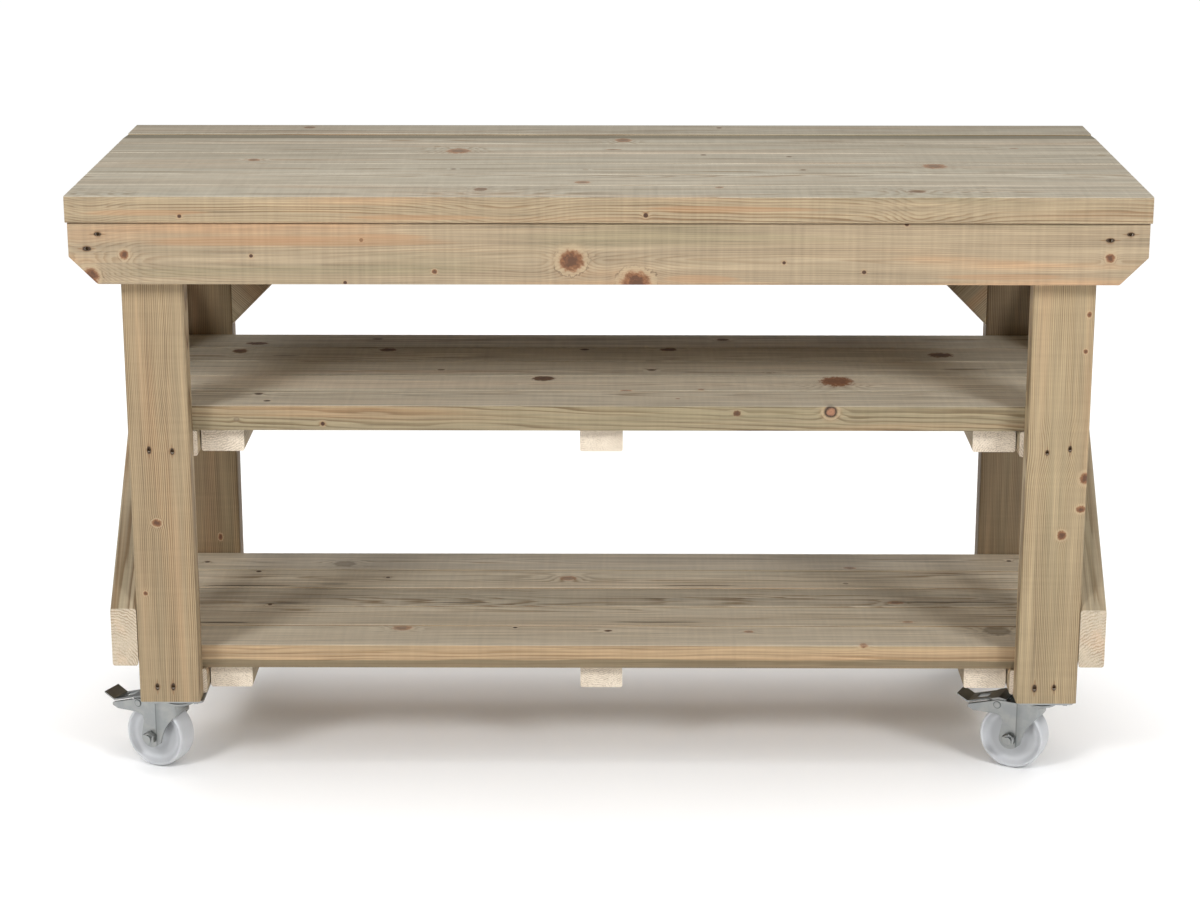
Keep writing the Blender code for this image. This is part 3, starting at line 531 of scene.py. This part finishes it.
class Board(Graph):
    """A board's softwood: growth rings about a pith beside it, knots, fibres and planer marks."""

    def __init__(self, name):
        super().__init__(f"{name}_softwood")
        self.name = name
        self.leg = "leg" in name
        self.shelf = "shelf" in name
        self.dice = random.Random(name)
        self.centre, self.turn = grain_frame(name)
        tone = next((key for key in TONES if key in name), "other")
        self.pale, self.dark = (rgb(*shade) for shade in TONES[tone])
        self.up_light = next((UP_PAINTED_LIGHT[key] for key in UP_PAINTED_LIGHT if key in name), None)
        inputs = {"Vector": self.place, "Location": self.centre, "Rotation": self.turn}
        self.local = self.add("Mapping", inputs, vector_type="TEXTURE")
        self.seed = Vector([self.dice.uniform(-9, 9) for _ in range(3)])
        self.strong = self.grain(STRENGTH)
        self.fibre = self.grain(FIBRE)
        self.streak = self.grain(STREAK)
        self.tinge = self.grain(TINGE)
        self.chatter = self.grain(KNIFE)
        self.upward = self.step(self.upright(self.normal), *UPWARD_STEP)
        self.near = {}

    def grain(self, scale, detail=2.0, out=0, rough=0.5):
        """A noise with its own repeats per metre along, across and through the board."""
        spot = self.vector("MULTIPLY_ADD", self.local, scale, self.seed)
        return self.noise(spot, detail, out, rough)

    def less_upward(self, share, full=1.0):
        """A value that drops by a share of itself on faces that look up."""
        return self.math("MULTIPLY_ADD", self.upward, -share * full, full)

    def multiplied(self, colour, factor):
        return self.mix(1.0, colour, factor, "MULTIPLY")

    def grey(self, value):
        return self.add("CombineColor", {0: value, 1: value, 2: value})

    def from_line(self, value, line):
        return self.math("ABSOLUTE", self.math("SUBTRACT", value, line))

    def swollen(self, radius):
        """The rings' radius, pushed out round each knot, with the distance to each kind kept."""
        for kind, spots in marks_on(self.name, self.centre, self.turn).items():
            swell = MARKS[kind][4]
            for place, spread, across in spots:
                offset = self.vector("SUBTRACT", self.local, place)
                away = self.length(self.vector("MULTIPLY", offset, spread))
                if kind in self.near:
                    self.near[kind] = self.math("MINIMUM", self.near[kind], away)
                else:
                    self.near[kind] = away
                if swell:
                    fall = self.math("MULTIPLY", self.math("MULTIPLY", away, away), -SWELL_FALL)
                    push = self.math("EXPONENT", fall)
                    radius = self.math("MULTIPLY_ADD", push, swell * across, radius)
        return radius

    def rings(self):
        """The dark lines of late growth, from 0 to 1."""
        draw, side = self.dice.uniform, self.dice.choice
        wobble = self.vector("SUBTRACT", self.grain(SWAY, 3.0, "Color"), (0.5, 0.5, 0.5))
        swayed = self.vector("ADD", self.local, self.vector("MULTIPLY", wobble, SWAY_DEPTH))
        pith = [0, draw(-PITH_ASIDE, PITH_ASIDE), side((-1, 1)) * draw(*PITH_AWAY)]
        tilt = [0] + [math.radians(draw(-most, most)) for most in PITH_TILT]
        if self.leg:
            pith = [0, side((-1, 1)) * draw(*LEG_PITH_AWAY), draw(-LEG_PITH_ASIDE, LEG_PITH_ASIDE)]
            tilt = [0, 0, math.radians(draw(-LEG_PITH_TILT, LEG_PITH_TILT))]
        inputs = {"Vector": swayed, "Location": pith, "Rotation": tilt}
        about = self.add("Mapping", inputs, vector_type="TEXTURE")
        about = self.vector("MULTIPLY", about, (0, 1, 1))
        radius = self.swollen(self.length(about))
        spacing, crowding = draw(*RING_SPACING), RING_CROWDING
        if self.leg:
            spacing, crowding = draw(*LEG_RING_SPACING), LEG_RING_CROWDING
        uneven = self.noise(self.vector("MULTIPLY_ADD", about, UNEVEN, self.seed), 1.0)
        phase = self.math("MULTIPLY_ADD", uneven, crowding, self.math("DIVIDE", radius, spacing))
        phase = self.math("FRACT", phase)
        late = self.math("MULTIPLY", self.step(phase, *LATE_RISE), self.step(phase, *LATE_FALL))
        plain = self.less_upward(UP_LINES, LINES.get(self.name, 1.0))
        late = self.math("MULTIPLY", late, plain)
        return self.math("MULTIPLY", late, self.step(self.strong, *STRONG_STEP))

    def ground(self, late):
        """The wood's colour before its marks: growth, tinge, fibres, and painted light and shade by
        the way its faces look.
        """
        colour = self.mix(late, self.pale, self.dark)
        hue = self.less_upward(UP_HUE, LEG_HUE if self.leg else SHELF_HUE if self.shelf else 1.0)
        warm = self.math("MULTIPLY", hue, self.step(self.tinge, *WARM_STEP))
        olive = self.math("MULTIPLY", hue, self.step(self.tinge, *OLIVE_STEP))
        colour = self.mix(olive, self.mix(warm, colour, WARM), OLIVE)
        knives = CHATTER.get(self.name, PLAIN_CHATTER)
        # A board's level from SHADES, painted shade on some of them.
        level = BASE_SHADE - knives / 2 + SHADES.get(self.name, 1.0) - 1
        shade = self.math("MULTIPLY_ADD", self.streak, STREAK_SHADE, level)
        shade = self.math("MULTIPLY_ADD", self.fibre, FIBRE_SHADE, shade)
        shade = self.math("MULTIPLY_ADD", self.chatter, knives, shade)
        colour = self.multiplied(colour, self.grey(shade))
        # Painted light: faces that look up are made paler and greyer.
        if self.up_light:
            colour = self.mix(self.upward, colour, self.multiplied(colour, self.up_light))
        # Painted shade on the rear legs: faces that look out of the frame are lifted out of it.
        if self.leg and self.name.startswith("rear"):
            outward = (math.copysign(1, self.centre.x), 1, 0)
            outer = self.step(self.dot(self.normal, outward), *OUTER_STEP)
            colour = self.mix(outer, colour, self.multiplied(colour, OUTER_SHADE_LIFT))
        return colour

    def marked(self, colour):
        """The colour with its knots, cracks and torn fibres."""
        fade, glow = self.less_upward(UP_FADE), self.less_upward(UP_GLOW)
        ragged = self.math("MULTIPLY_ADD", self.streak, *RAGGED)
        blots = self.math("MULTIPLY_ADD", self.grain(BLOT, 3.0, rough=0.65), *BLOTTED)
        for kind, away in self.near.items():
            core, rim, strength, halo, _, unruly = MARKS[kind]
            if halo:
                halo = self.math("MULTIPLY", glow, self.step(away, *HALO_REACH, halo, 0.0))
                colour = self.mix(halo, colour, WARM)
            if not strength:
                continue
            if unruly:
                edge = self.math("MULTIPLY_ADD", blots, unruly, away)
                grown = self.math("MULTIPLY_ADD", blots, 2 * unruly, away)
            else:
                edge = self.math("ADD", ragged, away)
                grown = self.math("MULTIPLY_ADD", self.fibre, GROWN, away)
            blend = SOFT_BLEND if unruly > SOFT_FROM else HARD_BLEND
            inside = self.mix(self.step(grown, *blend), core, rim)
            if kind in RINGED:
                year = self.math("FRACT", self.math("MULTIPLY_ADD", edge, YEARS, self.streak))
                inside = self.mix(self.step(year, *YEAR_STEP), inside, BARK_AND_SHADOW)
                ring = self.step(self.from_line(edge, SAPWOOD_AT), *SAPWOOD_STEP)
                colour = self.mix(self.math("MULTIPLY", glow, ring), colour, SAPWOOD)
            deep = self.shelf and kind in DEEP
            # Knots on faces that look up get the same painted light, except the deep kinds on the
            # shelves.
            if self.up_light and not deep:
                inside = self.mix(self.upward, inside, self.multiplied(inside, KNOT_UP_LIGHT))
            cover = self.step(edge, *KNOT_EDGE, strength, 0.0)
            if not deep:
                cover = self.math("MULTIPLY", fade, cover)
            colour = self.mix(cover, colour, inside)
            if kind in RINGED:
                shell = self.step(self.from_line(edge, SHELL_AT), *SHELL_STEP)
                shell = self.math("MULTIPLY", shell, self.step(self.strong, *SHELL_BREAK))
                colour = self.mix(self.math("MULTIPLY", glow, shell), colour, BARK_AND_SHADOW)
        return colour

    def waned(self, colour):
        """The colour with bark left on the waned faces; on the wane that looks down the darkening
        is partly painted shade.
        """
        way, depth = WANES[self.name]
        bare = self.step(self.dot(self.normal, way.normalized()), *WANE_STEP)
        if self.name in WANE_EDGES:
            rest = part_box(self.name)[0].z + WANE_EDGES[self.name] - WAVE_HEIGHT / 2
            line = self.math("MULTIPLY_ADD", self.grain(WAVE, 1.0), WAVE_HEIGHT, rest)
            above = self.math("SUBTRACT", self.upright(self.place), line)
            bare = self.math("MAXIMUM", bare, self.step(above, *WANE_LINE))
        bark = self.math("MULTIPLY_ADD", self.tinge, BARK_SPREAD, depth - BARK_SPREAD / 2)
        bark = self.mix(BARK_OLIVE, self.multiplied(colour, self.grey(bark)), OLIVE)
        return self.mix(bare, colour, bark)

    def painted(self):
        """The finished material."""
        late = self.rings()
        colour = self.marked(self.ground(late))
        if self.name in WANES:
            colour = self.waned(colour)
        # Painted shadow: a dark band along the apron's top edge, under the worktop's overhang.
        if self.name == "front_apron":
            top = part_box(self.name)[1].z
            shadow_band = (top - WORKTOP_SHADOW[0], top - WORKTOP_SHADOW[1], 0.0, WORKTOP_SHADOW[2])
            colour = self.mix(self.step(self.upright(self.place), *shadow_band), colour, BARK_AND_SHADOW)
        facing = self.dot(self.normal, self.turn.to_matrix().col[0])
        sawn = self.step(self.math("ABSOLUTE", facing), *SAWN_STEP)
        end = self.mix(self.math("MULTIPLY", late, END_LINES), END_GRAIN, self.dark)
        end = self.mix(self.step(self.grain(PORE), *PORE_STEP), end, self.dark)
        relief = self.math("MULTIPLY_ADD", self.chatter, RELIEF[0], self.fibre)
        relief = self.math("MULTIPLY_ADD", late, RELIEF[1], relief)
        bump = self.add("Bump", {"Height": relief, **WOOD_BUMP})
        rough = self.scaled(self.fibre, *WOOD_ROUGH)
        return self.finish(base_color=self.mix(sawn, colour, end), roughness=rough, normal=bump)


def zinc(name, pivot=None, trail=None, pin=None):
    """Bright zinc plate with a painted dark reflection on faces that look up; a fork's has painted
    shade along its folds and round its rivets.
    """
    g = Graph(name)
    cloud = g.cloud(ZINC_CLOUD, 3.0)
    scuff = g.cloud(ZINC_SCUFF)
    colour = g.mix(g.step(cloud, *ZINC_STEP), *ZINC)
    upright = g.upright(g.normal)
    # Painted reflection: faces that look up are darkened as if they mirror the bench's dark
    # underside.
    colour = g.mix(g.step(upright, *UNDERSIDE_REFLECTION_STEP), colour, UNDERSIDE_REFLECTION)
    if pivot:
        way = trail.normalized()
        behind = g.dot(g.vector("SUBTRACT", g.place, pivot), way)
        past = g.math("SUBTRACT", behind, trail.length - FOLD_AHEAD)
        crease = g.step(g.math("ABSOLUTE", past), *CREASE_STEP)
        web = g.math("MULTIPLY", g.step(past, *WEB_STEP), g.math("LESS_THAN", past, 0.0))
        side = g.step(g.math("ABSOLUTE", upright), *SIDE_STEP)
        # Painted shade along the fold's crease and over the web beside it.
        painted_shade = g.math("MULTIPLY", side, g.math("MAXIMUM", crease, web))
        colour = g.mix(painted_shade, colour, ZINC_SHADE)
        offset = g.vector("SUBTRACT", g.place, pin)
        ring = g.length(g.vector("CROSS_PRODUCT", offset, way.cross((0, 0, 1))))
        rim = g.math("ABSOLUTE", g.math("SUBTRACT", ring, RIVET_R))
        # Painted shade round the rivet's head.
        colour = g.mix(g.step(rim, *RIVET_STEP), colour, ZINC_SHADE)
    rough = g.math("MULTIPLY_ADD", scuff, *ZINC_ROUGH[1:])
    rough = g.math("MULTIPLY_ADD", cloud, ZINC_ROUGH[0], rough)
    bump = g.add("Bump", {"Height": scuff, **ZINC_BUMP})
    return g.finish(base_color=colour, metallic=1.0, roughness=rough, normal=bump)


def nylon(name, hub, axle):
    """White nylon with painted shade in the wheel's dish, and a fine moulded skin."""
    g = Graph(name)
    out = g.length(g.vector("CROSS_PRODUCT", g.vector("SUBTRACT", g.place, hub), axle))
    cloud = g.cloud(NYLON_CLOUD, 3.0)
    colour = g.mix(g.step(cloud, *NYLON_STEP), *NYLON)
    # Painted shade in the wheel's dish.
    colour = g.mix(g.step(out, *DISH_STEP), colour, DISH_SHADE)
    rough = g.math("MULTIPLY_ADD", cloud, *NYLON_ROUGH)
    bump = g.add("Bump", {"Height": g.cloud(NYLON_SKIN), **NYLON_BUMP})
    return g.finish(base_color=colour, roughness=rough, normal=bump)


def bronze(name):
    """Dark yellow-brown plating of the wood screws."""
    g = Graph(name)
    cloud = g.cloud(BRONZE_CLOUD)
    rough = g.scaled(cloud, *BRONZE_ROUGH)
    return g.finish(base_color=g.mix(cloud, *BRONZE), metallic=1.0, roughness=rough)


def placed(name, data):
    """A new object in the scene."""
    obj = bpy.data.objects.new(name, data)
    bpy.context.scene.collection.objects.link(obj)
    return obj


def shaped(name, bm):
    """A new object from an edit mesh, which is freed."""
    mesh = bpy.data.meshes.new(name)
    bm.to_mesh(mesh)
    bm.free()
    return placed(name, mesh)


def dress(obj, material):
    obj.data.materials.clear()
    obj.data.materials.append(material)


def solid(name, bm, material, body):
    """A finished mesh as a piece that rides on a body."""
    bmesh.ops.recalc_face_normals(bm, faces=bm.faces)
    obj = shaped(name, bm)
    dress(obj, material)
    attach(obj, body)
    return obj


def smooth(obj, crease):
    obj.data.shade_smooth()
    obj.data.set_sharp_from_angle(angle=crease)


def node_mesh(name):
    """A node's solid with its facets joined into whole faces."""
    bm = bmesh.new()
    bm.from_mesh(NODES[name].data)
    bmesh.ops.remove_doubles(bm, verts=bm.verts, dist=WELD)
    bmesh.ops.dissolve_limit(bm, angle_limit=FLAT, verts=bm.verts, edges=bm.edges)
    return bm


def softened(node, material, body):
    """A sheet-metal node with its sharp edges broken, in the node's place."""
    obj = solid(f"{node}_pressed", node_mesh(node), material, body)
    smooth(obj, METAL_CREASE)
    bevel = obj.modifiers.new("broken_edges", "BEVEL")
    bevel.limit_method = "ANGLE"
    bevel.angle_limit = METAL_CREASE
    bevel.width = BROKEN_EDGE
    bevel.segments = BROKEN_STEPS
    bevel.use_clamp_overlap = True
    bevel.harden_normals = True
    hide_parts(node)


def lathe(bm, profile, steps, matrix):
    """A profile of (radius, along) turned about its axis and put in place."""
    angles = [2 * math.pi * step / steps for step in range(steps)]
    rings = []
    for radius, along in profile:
        turns = angles if radius else angles[:1]
        spots = [(radius * math.cos(turn), radius * math.sin(turn), along) for turn in turns]
        rings.append([bm.verts.new(matrix @ Vector(spot)) for spot in spots])
    for first, second in zip(rings, rings[1:]):
        for step in range(steps):
            corners = [
                first[step % len(first)], first[(step + 1) % len(first)],
                second[(step + 1) % len(second)], second[step % len(second)],
            ]
            bm.faces.new(dict.fromkeys(corners))


def towards(place, way):
    """A frame at a place whose Z looks a given way."""
    return Matrix.Translation(place) @ Vector(way).to_track_quat("Z", "Y").to_matrix().to_4x4()


def cut(obj, bm):
    """Take a shape away from a piece for good."""
    bmesh.ops.recalc_face_normals(bm, faces=bm.faces)
    bit = shaped("bit", bm)
    modifier = obj.modifiers.new("drill", "BOOLEAN")
    modifier.object = bit
    modifier.solver = "EXACT"
    seen = obj.evaluated_get(bpy.context.evaluated_depsgraph_get())
    result = bpy.data.meshes.new_from_object(seen)
    obj.modifiers.clear()
    obj.data = result
    bpy.data.objects.remove(bit)


def mesh_alone(obj):
    """A piece's mesh, for copies, without the piece."""
    mesh = obj.data
    bpy.data.objects.remove(obj)
    return mesh


def screw_mesh(material):
    """A countersunk head with a cross recess, looking along Z from its rim."""
    profile = [
        (0, -SCREW_HEAD_T), (SCREW_CORE_R, -SCREW_HEAD_T), (SCREW_HEAD_R, -SCREW_RIM),
        (SCREW_HEAD_R, -SCREW_EASE_T), (SCREW_HEAD_R - SCREW_EASE_R, 0), (0, 0),
    ]
    bm = bmesh.new()
    lathe(bm, profile, SCREW_STEPS, Matrix())
    head = solid("screw_master", bm, material, "bench")
    length, width = (SCREW_CORE_R * share for share in SCREW_CROSS)
    for turn in (0, math.pi / 2):
        arm = Matrix.Diagonal((length, width, 2 * SCREW_RECESS, 1))
        slot = bmesh.new()
        bmesh.ops.create_cube(slot, size=1.0, matrix=Matrix.Rotation(turn, 4, "Z") @ arm)
        cut(head, slot)
    return mesh_alone(head)


def plate_screw_mesh(material):
    """A hexagon head with its pressed washer, looking along Z from the plate."""
    washer = [
        (0, 0), (WASHER_R, 0), (WASHER_R, WASHER_EDGE), (WASHER_TOP_R, WASHER_T), (0, WASHER_T),
    ]
    foot = WASHER_T - WASHER_LAP
    head = [
        (0, foot), (PLATE_SCREW_R, foot), (PLATE_SCREW_R, PLATE_SCREW_T - PLATE_SCREW_EASE),
        (PLATE_SCREW_R - PLATE_SCREW_EASE, PLATE_SCREW_T), (0, PLATE_SCREW_T),
    ]
    bm = bmesh.new()
    lathe(bm, washer, SCREW_STEPS, Matrix())
    lathe(bm, head, HEXAGON, Matrix())
    return mesh_alone(solid("plate_screw_master", bm, material, "bench"))


def screwed(name, mesh, place, way):
    """A screw's head in its place on the bench."""
    head = placed(name, mesh)
    head.matrix_world = towards(place, way)
    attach(head, "bench")


def drilled(node, spots):
    """A board with a countersunk hole at each place, given with the way out of the wood."""
    board = solid(f"{node}_drilled", node_mesh(node), Board(node).painted(), "bench")
    depth = SCREW_HEAD_T + SCREW_SUNK
    profile = [(0, -depth), (SCREW_HEAD_R + HOLE_PLAY, -depth), (HOLE_R, HOLE_OUT), (0, HOLE_OUT)]
    holes = bmesh.new()
    for place, way in spots:
        lathe(holes, profile, HOLE_STEPS, towards(place, way))
    cut(board, holes)
    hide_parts(node)


def rounded(profile, times):
    """A profile with its corners cut and cut again."""
    for _ in range(times):
        cutback = [profile[0]]
        for first, second in zip(profile, profile[1:]):
            for share in (0.25, 0.75):
                cutback.append(tuple(a + (b - a) * share for a, b in zip(first, second)))
        profile = [*cutback, profile[-1]]
    return profile


def wheel(caster, material):
    """A moulded wheel with a dished face, a rounded rim and a crowned tread."""
    joint = JOINTS[f"{caster}_caster_roll"]
    hub = Vector(joint["pos_m"])
    half = rounded(list(WHEEL_SECTION), WHEEL_ROUNDINGS)
    section = half + [(radius, -along) for radius, along in reversed(half[:-1])]
    section = [(radius * hub.z, along * hub.z) for radius, along in section]
    bm = bmesh.new()
    lathe(bm, section + section[:1], WHEEL_STEPS, towards(hub, joint["axis"]))
    bmesh.ops.remove_doubles(bm, verts=bm.verts, dist=WELD)
    obj = solid(f"{caster}_moulded_wheel", bm, material, f"{caster}_caster_wheel")
    smooth(obj, WHEEL_CREASE)
    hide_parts(f"{caster}_caster_wheel")


# Boards: the photograph's screws in the front ones, and the same in their partners behind.
screw = screw_mesh(bronze("screw_plating"))
screw_spots = {}
for node, picks in SCREWS.items():
    partner = node.replace("front", "rear")
    face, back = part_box(node)[0].y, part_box(partner)[1].y
    places = [photo_point(pick, 1, face) for pick in picks]
    behind = [Vector((place.x, back, place.z)) for place in places]
    screw_spots[node] = [(place, Vector((0, -1, 0))) for place in places]
    screw_spots[partner] = [(place, Vector((0, 1, 0))) for place in behind]

for board in WOOD:
    if board in screw_spots:
        drilled(board, screw_spots[board])
        for index, (place, way) in enumerate(screw_spots[board]):
            seat = place - way * (SCREW_SUNK - SCREW_PLAY)
            screwed(f"{board}_screw_{index + 1}", screw, seat, way)
    else:
        dress(NODES[board], Board(board).painted())

# Casters: pressed steel, moulded wheels, and four screws under each plate.
plate_screw = plate_screw_mesh(zinc("plate_screw_zinc"))
for caster in CASTERS:
    pivot, hub, pin = (
        Vector(JOINTS[f"{caster}_caster_{joint}"]["pos_m"]) for joint in ("swivel", "roll", "brake")
    )
    trail = Vector((hub.x - pivot.x, hub.y - pivot.y, 0))
    metal = zinc(f"{caster}_zinc")
    pressed = zinc(f"{caster}_fork_zinc", pivot, trail, pin)
    axle = Vector(JOINTS[f"{caster}_caster_roll"]["axis"])
    wheel(caster, nylon(f"{caster}_nylon", hub, axle))
    for kind, body in (("plate", None), ("fork", "swivel"), ("axle", "swivel"), ("pedal", "pedal")):
        rides = f"{caster}_caster_{body}" if body else "bench"
        softened(f"{caster}_caster_{kind}", pressed if kind == "fork" else metal, rides)
    low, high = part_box(f"{caster}_caster_plate")
    centre, half = (low + high) / 2, (high - low) / 2
    for index in range(4):
        across = PLATE_HOLES[0] * half.x * (1 if index % 2 else -1)
        along = PLATE_HOLES[1] * half.y * (1 if index // 2 else -1)
        place = Vector((centre.x + across, centre.y + along, high.z - PLATE_T))
        screwed(f"{caster}_plate_screw_{index + 1}", plate_screw, place, (0, 0, -1))

# Studio: a pale floor, closed by a white bowl that only the camera sees.
FLOOR_SIZE = 40
FLOOR = (rgb(244, 244, 244), rgb(248, 248, 248))
FLOOR_CLOUD = (3, 3, 3)
# Radius and height of the bowl's section, and the reach over which it fades in.
BACKDROP = ((2.4, 0.001), (10, 0.001), (30, 0.001), (38, 6), (36, 20), (20, 32), (0, 36))
BACKDROP_FADE = (2.5, 5.0)
BACKDROP_STEPS = 64

grid = bmesh.new()
bmesh.ops.create_grid(grid, x_segments=1, y_segments=1, size=FLOOR_SIZE)
floor = shaped("floor", grid)
pale = Graph("floor_paint")
dress(floor, pale.finish(base_color=pale.mix(pale.cloud(FLOOR_CLOUD), *FLOOR), roughness=0.8))

bowl = bmesh.new()
lathe(bowl, BACKDROP, BACKDROP_STEPS, Matrix())
backdrop = shaped("backdrop", bowl)
white = Graph("backdrop_paper")
opaque = white.step(white.length(white.place), *BACKDROP_FADE)
glare = {"base_color": (0, 0, 0, 1), "emission_color": (1, 1, 1, 1), "emission_strength": 1.0}
dress(backdrop, white.finish(alpha=opaque, roughness=1.0, **glare))
white.material.cycles.emission_sampling = "NONE"
for ray in ("diffuse", "glossy", "transmission", "volume_scatter", "shadow"):
    setattr(backdrop, f"visible_{ray}", False)

# Softboxes: place, aim, size and power. Two stand in front and one hangs overhead, the floor
# has two of its own, and a low one fills the back.
MIDDLE = (cad_box[0] + cad_box[1]) / 2
BENCH_LAMPS = {
    "left_softbox": ((-3.0, -3.6, 2.9), MIDDLE, (1.2, 1.0), 108),
    "right_softbox": ((3.0, -3.6, 2.9), MIDDLE, (1.2, 1.0), 108),
    "overhead_softbox": ((0, -0.3, 3.1), MIDDLE, (2.4, 1.4), 20.5),
}
FLOOR_LAMPS = {
    "near_backdrop_lamp": ((0, 0, 9), (0, 0, 0), (18, 18), 1250),
    "far_backdrop_lamp": ((0, 14, 9), (0, 14, 0), (40, 12), 2500),
}
BACK_LAMPS = {"back_fill_softbox": ((0, 3.4, 0.55), (0, 0, 0.5), (3.0, 0.6), 26)}
BACK = ("rear_", "left_brace", "right_brace", "left_knee", "right_knee", *LAST_BOARDS)
SKY_STRENGTH = 0.17


def softboxes(lamps, group=None, lit=()):
    """Lamps out of the camera's sight; those with a group are flagged off everything else."""
    if group:
        group = bpy.data.collections.new(group)
        for obj in lit:
            group.objects.link(obj)
    for name, (place, aim, size, power) in lamps.items():
        light = bpy.data.lights.new(name, "AREA")
        light.shape = "RECTANGLE"
        light.size, light.size_y = size
        light.energy = power
        lamp = placed(name, light)
        lamp.location = place
        lamp.rotation_euler = (Vector(aim) - Vector(place)).to_track_quat("-Z", "Y").to_euler()
        lamp.visible_camera = False
        if group:
            lamp.light_linking.receiver_collection = group


softboxes(BENCH_LAMPS)
softboxes(FLOOR_LAMPS, "backdrop", [floor])
rear = [obj for obj in bpy.context.scene.objects if obj.name.startswith(BACK)]
softboxes(BACK_LAMPS, "back_fill", rear)

world = bpy.data.worlds.new("studio")
bpy.context.scene.world = world
world.use_nodes = True
sky = world.node_tree.nodes["Background"]
sky.inputs["Color"].default_value = (1, 1, 1, 1)
sky.inputs["Strength"].default_value = SKY_STRENGTH

camera = placed("camera", bpy.data.cameras.new("camera"))
camera.location = PHOTO_EYE
camera.rotation_euler = (math.pi / 2 - CAMERA_PITCH, 0, PHOTO_YAW)
camera.data.lens = CAMERA_LENS
bpy.context.scene.camera = camera
bpy.context.scene.view_settings.view_transform = "Standard"
